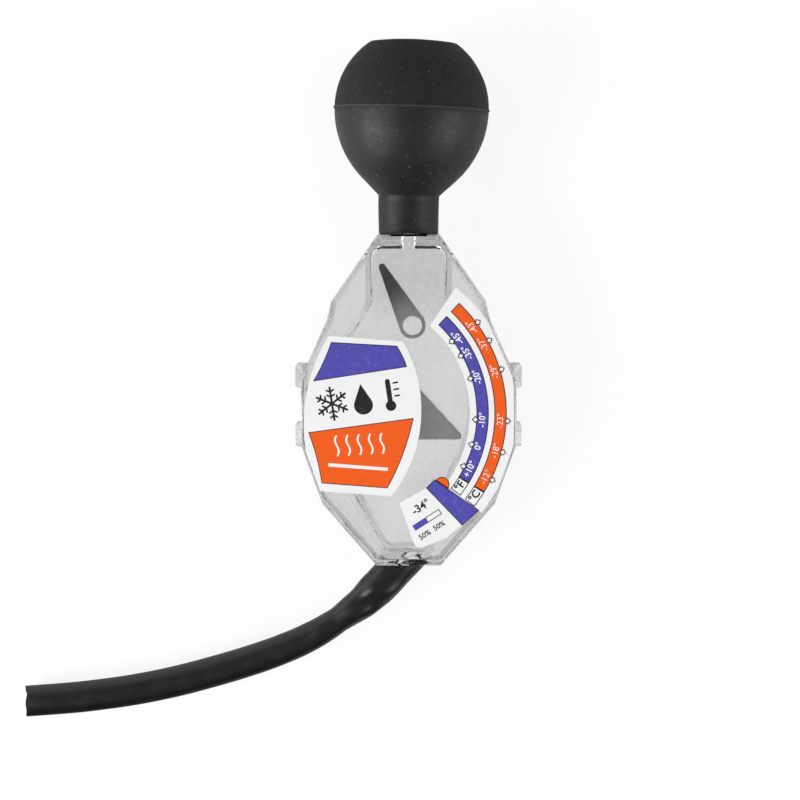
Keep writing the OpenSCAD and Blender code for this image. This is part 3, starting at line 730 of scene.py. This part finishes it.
class HYDROMETER_OT_hose(Operator):
    """Models the hose straight and lays it along its route"""

    bl_idname = "hydrometer.hose"
    bl_label = "Hose"

    # Distance between two rings of the mesh
    RING = 1.2 * MM
    # The kink behind the spigot, in millimetres along and across the hose: a slanted crease with a bulge
    # before it, deepest on the outside of the bend
    CREASE, WIDTH, SLANT, DEPTH, DEEPER_OUTSIDE = 17.5, 2.6, 0.45, 0.52, 0.17
    BULGE, BULGE_BEFORE = 0.55, 1.9
    # Place and reach of a groove, along the hose and across it, and its depth
    GROOVE_ALONG, GROOVE_ACROSS, GROOVE_DEPTH = (15, 6), (0.8, 1.15), 0.45
    # Place and reach of the ripples, reach of the swelling at the waist, and the share of both
    RIPPLES, SWELLING_REACH, RIPPLE, SWELLING = (19, 9), 9, 0.035, 0.1
    # How far the cut end is pressed flat
    PRESSED = 0.05

    def execute(self, context):
        s = context.scene.hydrometer_hose
        exit_point = flat(s.exit_x, s.exit_y)
        route = [LYING @ exit_point, LYING @ (exit_point - heading(s.slope) * s.straight)]
        route += [Vector(p) * MM for p in HOSE_ROUTE]
        guide, path = self.guide(route)
        total = sum((b - a).length for a, b in zip(path, path[1:]))
        hose = self.straight_hose(s, total)
        self.shape(hose, s, total)
        apply_modifier(hose, "SOLIDIFY", thickness=s.wall, offset=-1, use_even_offset=True)
        apply_modifier(hose, "CURVE", object=guide, deform_axis="POS_X")
        bpy.data.objects.remove(guide)
        bpy.ops.object.shade_smooth_by_angle(angle=SMOOTH)
        dress(hose, hose_rubber(s))
        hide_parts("hose")
        return {"FINISHED"}

    def guide(self, route):
        """A smooth curve through the route, and the points along it."""
        guide = added(bpy.ops.curve.primitive_bezier_curve_add, "route")
        guide.data.twist_mode = "Z_UP"
        guide.data.resolution_u = 16
        spline = guide.data.splines[0]
        spline.bezier_points.add(len(route) - len(spline.bezier_points))
        for point, place in zip(spline.bezier_points, route):
            point.co = place
            point.handle_left_type = point.handle_right_type = "AUTO"
        bpy.context.view_layer.update()
        path = [route[0]]
        for a, b in zip(spline.bezier_points, spline.bezier_points[1:]):
            path += interpolate_bezier(a.co, a.handle_right, b.handle_left, b.co, 9)[1:]
        return guide, path

    def straight_hose(self, s, total):
        """The hose along +X, as a row of rings with their own radii."""
        before = self.radius_at(s, 0)
        ring = {"vertices": s.sections, "radius": before, "rotation": (0, QUARTER, 0)}
        hose = added(bpy.ops.mesh.primitive_circle_add, "hose_tube", **ring)
        bpy.ops.object.transform_apply()
        bpy.ops.object.mode_set(mode="EDIT")
        rings = round(total / self.RING)
        for i in range(1, rings + 1):
            x = total * i / rings
            bpy.ops.mesh.extrude_region_move(TRANSFORM_OT_translate={"value": (total / rings, 0, 0)})
            radius = self.radius_at(s, x)
            scale = radius / before
            if abs(scale - 1) > 1e-6:
                bpy.ops.transform.resize(value=(1, scale, scale), center_override=(x, 0, 0))
            before = radius
        face_out()
        return hose

    def radius_at(self, s, x):
        """Outer radius at a distance from the housing: wide over the spigot, then a waist, then even."""
        if x > s.waist:
            return s.radius + (s.waist_radius - s.radius) * math.exp((s.waist - x) / s.recovery)
        t = max(0, (x - s.sleeve_length) / (s.waist - s.sleeve_length))
        lip = s.lip * max(0, 1 - x / s.lip_length)
        return s.sleeve_radius + (s.waist_radius - s.sleeve_radius) * t - lip

    def shape(self, hose, s, total):
        """Cuts the first ring flush with the housing, kinks the hose and roughs up its cut end."""
        straight = hose.data.attributes.new("straight", "FLOAT_VECTOR", "POINT")
        flush = 1 / math.tan(s.slope)
        for vertex, record in zip(hose.data.vertices, straight.data):
            x, y, z = vertex.co
            record.vector = vertex.co / MM
            turn = math.atan2(z, y)
            if x < s.sleeve_length:
                vertex.co.x -= y * flush * (1 - x / s.sleeve_length)
            self.kink(vertex, s, x, y, z, turn)
            near_end = (x - total + s.cut) / s.cut
            if near_end > 0:
                ragged = 0.35 * math.sin(2 * turn + 0.8) + 0.2 * math.sin(5 * turn)
                vertex.co.x += near_end * MM * ragged
                vertex.co.z *= 1 - self.PRESSED * near_end

    def kink(self, vertex, s, x, y, z, turn):
        """Creases the hose's upper side behind its spigot, and ripples and swells the hose there."""
        along, across = x / MM, y / MM
        off = (along - self.CREASE + self.SLANT * across) / self.WIDTH
        crease = bell(off) - self.BULGE * bell(off + self.BULGE_BEFORE)
        groove = bell(along, *self.GROOVE_ALONG) * bell(across, *self.GROOVE_ACROSS)
        depth = (self.DEPTH + self.DEEPER_OUTSIDE * across) * crease + self.GROOVE_DEPTH * groove
        vertex.co.z -= max(0, z / s.radius) * depth * s.pinch
        ripple = math.sin(along / 2.6 + 2 * turn) * math.sin(3 * turn - along / 4.1)
        out = 1 + self.RIPPLE * ripple * bell(along, *self.RIPPLES)
        swelling = 1 + self.SWELLING * bell(along, s.waist / MM, self.SWELLING_REACH)
        vertex.co.y *= out
        vertex.co.z *= out * swelling


class HYDROMETER_OT_housing(Operator):
    """Finishes the two clear shells"""

    bl_idname = "hydrometer.housing"
    bl_label = "Clear housing"

    def execute(self, context):
        plastic = clear_plastic(context.scene.hydrometer_housing)
        for node in ("front_shell", "rear_shell"):
            dress_node(node, plastic)
        return {"FINISHED"}


class HYDROMETER_OT_mechanism(Operator):
    """Finishes the pointer, its slug and pin and the level arm"""

    bl_idname = "hydrometer.mechanism"
    bl_label = "Pointer and arm"

    def execute(self, context):
        s = context.scene.hydrometer_mechanism
        dress_node("pointer_vane", moulded_plastic("grey_plastic", s.pointer, 0.42, 0.05))
        dress_node("level_arm", arm_plastic(s))
        dress_node("counterweight", turned_metal("brass", s.slug, 0.26))
        dress_node("pointer_pin", turned_metal("steel", s.pin, 0.22))
        return {"FINISHED"}


# Layers of ink, counted from the film
ON_FILM, ON_LINE, ON_FIELD, ON_MARK = 1, 2, 3, 4


class Print:
    """The inks of one label, collected by colour and laid on its film."""

    def __init__(self, name, node, settings):
        self.name = name
        self.settings = settings
        self.pieces = {}
        dress_node(node, bpy.data.materials.get("label_film") or label_film(settings))

    def add(self, tone, piece):
        """Collects a printed piece under its colour."""
        self.pieces.setdefault(tone, []).append(piece)

    def height(self, layer):
        """Height of a layer of ink over the film."""
        return layer * self.settings.ink

    def shape(self, tone, points, layer, inset=0.0):
        """A printed shape with this outline, moved in by inset."""
        self.add(tone, outline(points, self.height(layer), inset))

    def field(self, tone, points):
        """A printed field with a dark line round it."""
        self.shape("black", points, ON_FILM)
        self.shape(tone, points, ON_LINE, self.settings.edge)

    def strip(self, low, high, fields):
        """Fields end to end round the pointer's pin, on a dark strip that shows as a line round each."""
        self.add("black", band(low, high, fields[0][1], fields[-1][2], self.height(ON_FILM)))
        for tone, start, end in fields:
            self.add(tone, band(low, high, start, end, self.height(ON_LINE), self.settings.bold_edge))

    def mark(self, at, half, turn):
        """A diamond with a dark line round it."""
        corners = [polar(half, turn + i * QUARTER, at) for i in range(4)]
        self.shape("black", corners, ON_FIELD)
        self.shape("white", corners, ON_MARK, self.settings.bold_edge)

    def text(self, tone, words, size, at, turn, layer, weight):
        """A line of numerals, with its strokes widened by weight times its size."""
        self.add(tone, numeral(words, size, at, turn, self.height(layer), weight))

    def sign(self, points, place):
        """A black sign on the film, drawn with a half height of about 1 and put in its place."""
        self.shape("black", [place @ point for point in points], ON_FILM)

    def snowflake(self, place):
        """A snowflake of six like arms, each with two pairs of twigs."""
        half, twig, lean = 0.065, 0.055, math.radians(30)
        out = heading(lean)
        side = [flat(half, half * math.sqrt(3))]
        for root, reach in ((0.42, 0.26), (0.72, 0.24)):
            foot, neck = (root + (half * out.y + edge) / out.x for edge in (-twig, twig))
            side.append(flat(half, foot))
            side += arc(flat(0, root) + out * reach, twig, lean - QUARTER, lean + QUARTER, 4)
            side.append(flat(half, neck))
        other_side = [flat(-p.x, p.y) for p in reversed(side[1:])]
        arm = side + arc(flat(0, 1), half, 0, math.pi, 6) + other_side
        turns = [Matrix.Rotation(i * math.pi / 3, 3, "Z") for i in range(6)]
        self.sign([turn @ point for turn in turns for point in arm], place)

    def droplet(self, place):
        """A drop with its tip up."""
        low, belly = 0.35, 0.6
        lean = math.acos(belly / (1 + low))
        self.sign([flat(0, 1), *arc(flat(0, -low), belly, QUARTER + lean, 5 * QUARTER - lean, 24)], place)

    def thermometer(self, place):
        """A thermometer with three marks beside its tube."""
        bulb, tube, mark = 0.32, 0.15, 0.05
        opening = math.asin(tube / bulb)
        points = arc(flat(0, -0.66), bulb, QUARTER + opening, 5 * QUARTER - opening, 20)
        self.sign(points + arc(flat(0, 0.85), tube, 0, math.pi, 8), place)
        for level in (-0.1, 0.3, 0.7):
            points = arc(flat(0.6, level), mark, -QUARTER, QUARTER, 6)
            self.sign(points + arc(flat(0.34, level), mark, QUARTER, 3 * QUARTER, 6), place)

    def wave(self, place):
        """A rising wave of warm air, white on a field."""
        steps = [i / 18 for i in range(19)]
        middle = [flat(0.16 * math.sin(t * 2 * math.pi), 2 * t - 1) for t in steps]
        half = flat(0.09, 0)
        points = [point + half for point in middle] + [point - half for point in reversed(middle)]
        self.shape("white", [place @ point for point in points], ON_FIELD)

    def lay_down(self):
        """Joins each colour to one piece and lays it on the film."""
        inks = make_inks(self.settings)
        top = HALF_DEPTH + self.settings.film_thickness
        for tone, pieces in self.pieces.items():
            piece = join(f"{self.name}_{tone}", pieces)
            lay(piece, top)
            dress(piece, inks[tone])


def make_inks(s):
    """The inks that both labels share, made once."""
    made = {}
    for tone, wear in (("violet", 0.35), ("orange", 0.12), ("black", 0.2), ("white", 0.1)):
        name = f"{tone}_ink"
        made[tone] = bpy.data.materials.get(name) or ink(name, getattr(s, tone), wear)
    return made


class HYDROMETER_OT_name_label(Operator):
    """Prints the label on the left of the front plate"""

    bl_idname = "hydrometer.name_label"
    bl_label = "Left label"

    # Each field's colour, its corners in millimetres from the top left one clockwise, and how far its left
    # and its right side bow out
    FIELDS = [
        ("violet", (-24.55, 22.4), (-3.7, 21.2), (-0.5, 14.5), (-30.3, 9.9), -0.35, 0.25),
        ("orange", (-31.9, -6.3), (1.6, -1.7), (-6.7, -24.2), (-27.7, -22.6), -0.5, 0.9),
    ]
    # Corners of the white line on the orange field, in millimetres
    LINE = [(-25.6, -16.1), (-25.4, -17.2), (-6.7, -18.6), (-6.5, -17.6)]
    # Each sign's place in its row and half its height, in millimetres
    SIGNS = [("snowflake", (-9.2, 0), 5.2), ("droplet", (0.6, -0.2), 5.0), ("thermometer", (9.2, 0), 5.2)]
    WAVES = [("wave", (3.6 * i, 0), 3.3) for i in range(-2, 3)]
    # Each row's middle in millimetres, its slant in degrees and its signs
    ROWS = [((-15.2, 4.2), 8.6, SIGNS), ((-15.6, -10.2), 3, WAVES)]

    def execute(self, context):
        sheet = Print("left_print", "name_label", context.scene.hydrometer_labels)
        for tone, *corners, left_bow, right_bow in self.FIELDS:
            top_left, top_right, low_right, low_left = (mm(*corner) for corner in corners)
            sheet.field(tone, [
                *bowed(top_left, low_left, left_bow * MM), low_left,
                *bowed(low_right, top_right, right_bow * MM), top_right,
            ])
        sheet.shape("white", [mm(*corner) for corner in self.LINE], ON_FIELD)
        for middle, slant, signs in self.ROWS:
            row = Matrix.Translation(mm(*middle)) @ Matrix.Rotation(math.radians(slant), 4, "Z")
            for sign, at, size in signs:
                place = row @ Matrix.Translation(mm(*at)) @ Matrix.Scale(size * MM, 4)
                getattr(sheet, sign)(place)
        sheet.lay_down()
        return {"FINISHED"}


class HYDROMETER_OT_scale_label(Operator):
    """Prints the two scales and the mixing table on the right of the front plate"""

    bl_idname = "hydrometer.scale_label"
    bl_label = "Scale label"

    # Angle of each mark over the horizontal, with its readings on the inner and the outer band
    READINGS = [
        (36.6, "-45°", "-43°"), (28.6, "-35°", "-37°"), (16.9, "-20°", "-29°"),
        (-2.7, "-10°", "-23°"), (-14.6, "0°", "-18°"), (-25.7, "+10°", "-12°"),
    ]
    # Each band, its colour, the column of its readings, its unit and the weight of its numerals
    BANDS = [("inner", "violet", 1, "°F", 0.016), ("outer", "orange", 2, "°C", -0.004)]
    # Weight of the units and of the mixing table
    UNIT, TABLE = 0.03, 0.02

    def execute(self, context):
        sheet = Print("scale_print", "scale_label", context.scene.hydrometer_labels)
        self.bands(sheet, context.scene.hydrometer_scale)
        self.table(sheet)
        sheet.lay_down()
        return {"FINISHED"}

    def bands(self, sheet, scale):
        """Both bands, with their marks, readings and units."""
        unit_angle = (scale.unit_low + scale.low) / 2
        for side, tone, column, unit, weight in self.BANDS:
            low, high, marks = (getattr(scale, f"{side}_{size}") for size in ("low", "high", "marks"))
            middle = (low + high) / 2
            sheet.strip(low, high, [("white", scale.unit_low, scale.low), (tone, scale.low, scale.top)])
            self.across(sheet, "black", unit, scale.unit, middle, unit_angle, self.UNIT)
            for row in self.READINGS:
                angle = math.radians(row[0])
                sheet.mark(polar(marks, angle), scale.mark, angle)
                self.across(sheet, "white", row[column], scale.numeral, middle, angle, weight)

    def across(self, sheet, tone, words, size, radius, angle, weight):
        """A line of numerals across a band."""
        sheet.text(tone, words, size, polar(radius, angle), angle + QUARTER, ON_FIELD, weight)

    def table(self, sheet):
        """The violet bar under the scale and the mixing table below it."""
        inner, outer = mm(8.2, -21.3), mm(22.5, -31.2)
        sheet.field("violet", [inner, mm(5.5, -24.1), mm(17.1, -36.2), outer])
        top = math.atan2(outer.y - inner.y, outer.x - inner.x)
        sheet.field("orange", arc(inner + heading(top) * 2.9 * MM, 2.4 * MM, top, top + math.pi, 14))
        slant = math.radians(33)
        along = heading(slant)
        sheet.text("black", "-34°", 3.6 * MM, mm(3.9, -30.2), slant, ON_FILM, self.TABLE)
        box = mm(5.9, -34.3)
        half, rise = along * 5.0 * MM, flat(-along.y, along.x) * 0.95 * MM
        left = [box - half + rise, box - half - rise]
        sheet.field("white", [*left, box + half - rise, box + half + rise])
        sheet.shape("violet", [*left, box - rise, box + rise], ON_FIELD)
        for place in (-2.9, 2.5):
            at = mm(7.6, -37.6) + along * place * MM
            sheet.text("black", "50%", 2.4 * MM, at, slant, ON_FILM, self.TABLE)


class HYDROMETER_OT_stage(Operator):
    """Adds the floor, the light and the camera"""

    bl_idname = "hydrometer.stage"
    bl_label = "Stage"

    # Place of the camera over the housing's middle, in metres
    CAMERA = (-0.00274, 0.0029, 0.7)
    # Each lamp's name and place in metres, the place near the bulb that both face, and their width
    LAMPS = [("left_lamp", (-0.80, -0.355, 0.46)), ("right_lamp", (0.80, -0.355, 0.46))]
    FACED = (0, 0.06, 0.03)
    WIDTH = 0.7
    # Colours of the floor, by itself and where its reflection is dark, and where that shade fades out
    FLOOR, SHADED = (0.84, 0.84, 0.84), (0.05, 0.05, 0.05)
    SHADE = (-0.15, -0.09)
    # How far the floor lies under the tester
    GAP = 0.02 * MM
    WHITE = (1, 1, 1, 1)

    def execute(self, context):
        s = context.scene.hydrometer_stage
        context.scene.view_settings.view_transform = "Standard"
        self.floor(s)
        self.world(context.scene, s)
        for name, place in self.LAMPS:
            self.lamp(name, Vector(place), getattr(s, name))
        self.camera(context.scene, s)
        return {"FINISHED"}

    def floor(self, s):
        """A white floor that keeps a shadow, is plain white through plastic and mirrors dark in front."""
        floor = added(bpy.ops.mesh.primitive_plane_add, "floor", size=s.floor, location=(0, 0, -self.GAP))
        f = material("floor_white")
        seen = f.node("LightPath")
        mirrored = seen.sibling("Is Glossy Ray")
        _, y, _ = f.axes(f.node("TexCoord").sibling("Object"))
        in_shade = mirrored * (1 - y.soft_step(*self.SHADE))
        matt = f.node("BsdfDiffuse", {"Color": f.mix(in_shade, self.FLOOR, self.SHADED)})
        lift = f.node("Emission", {"Color": self.WHITE, "Strength": seen * s.lift})
        lit = f.node("AddShader", {0: matt, 1: lift})
        plain = f.node("Emission", {"Color": self.WHITE, "Strength": 1.0})
        white = seen.sibling("Is Transmission Ray").maximum(seen * (1 - s.shadow))
        f.end(f.node("MixShader", {0: white, 1: lit, 2: plain}))
        coat(floor, f.owner)

    def world(self, scene, s):
        """A soft sky, brightest low behind the bulb, that looks plain white itself and through plastic."""
        scene.world = bpy.data.worlds.new("soft_box")
        f = Finish(scene.world)
        seen = f.node("LightPath")
        white = seen.maximum(seen.sibling("Is Transmission Ray"))
        x, y, z = f.axes(f.node("TexCoord"))
        horizon = s.front + (s.back - s.front) * y.soft_step(-0.5, 0.9)
        horizon = horizon + s.left * (0 - x).soft_step(0.6, 1.0) + s.right * x.soft_step(0.6, 1.0)
        sky = horizon + (s.sky - horizon) * z.soft_step(0.1, 0.9)
        strength = white + (1 - white) * sky
        f.end(f.node("Background", {"Color": self.WHITE, "Strength": strength}))

    def lamp(self, name, place, power):
        """A soft square lamp that faces the bulb."""
        lamp = added(bpy.ops.object.light_add, name, type="AREA", location=place)
        lamp.rotation_euler = (Vector(self.FACED) - place).to_track_quat("-Z", "Y").to_euler()
        lamp.data.size = self.WIDTH
        lamp.data.energy = power

    def camera(self, scene, s):
        """A camera straight above the housing."""
        camera = added(bpy.ops.object.camera_add, "camera", location=MIDDLE + Vector(self.CAMERA))
        camera.rotation_euler = (0, 0, 0)
        camera.data.lens = s.lens
        camera.data.clip_start = 10 * MM
        scene.camera = camera


class HYDROMETER_PT_panel(Panel):
    """Lists the steps in the sidebar"""

    bl_idname = "HYDROMETER_PT_panel"
    bl_label = "Coolant hydrometer"
    bl_space_type = "VIEW_3D"
    bl_region_type = "UI"
    bl_category = "Hydrometer"

    def draw(self, context):
        for operator in OPERATORS:
            self.layout.operator(operator.bl_idname)


SETTINGS = {
    "hydrometer_bulb": BulbSettings,
    "hydrometer_hose": HoseSettings,
    "hydrometer_housing": HousingSettings,
    "hydrometer_mechanism": MechanismSettings,
    "hydrometer_labels": LabelSettings,
    "hydrometer_scale": ScaleSettings,
    "hydrometer_stage": StageSettings,
}
OPERATORS = [
    HYDROMETER_OT_stage,
    HYDROMETER_OT_hose,
    HYDROMETER_OT_bulb,
    HYDROMETER_OT_housing,
    HYDROMETER_OT_mechanism,
    HYDROMETER_OT_name_label,
    HYDROMETER_OT_scale_label,
]


def register():
    """Registers the settings, the operators and the panel."""
    for cls in (*SETTINGS.values(), *OPERATORS, HYDROMETER_PT_panel):
        bpy.utils.register_class(cls)
    for name, cls in SETTINGS.items():
        setattr(bpy.types.Scene, name, PointerProperty(type=cls))


def unregister():
    """Takes everything out again."""
    for name in SETTINGS:
        delattr(bpy.types.Scene, name)
    for cls in (HYDROMETER_PT_panel, *reversed(OPERATORS), *reversed(list(SETTINGS.values()))):
        bpy.utils.unregister_class(cls)


def main():
    """Builds the stage and every piece."""
    register()
    for operator in OPERATORS:
        group, step = operator.bl_idname.split(".")
        getattr(getattr(bpy.ops, group), step)()


if __name__ == "__main__":
    main()
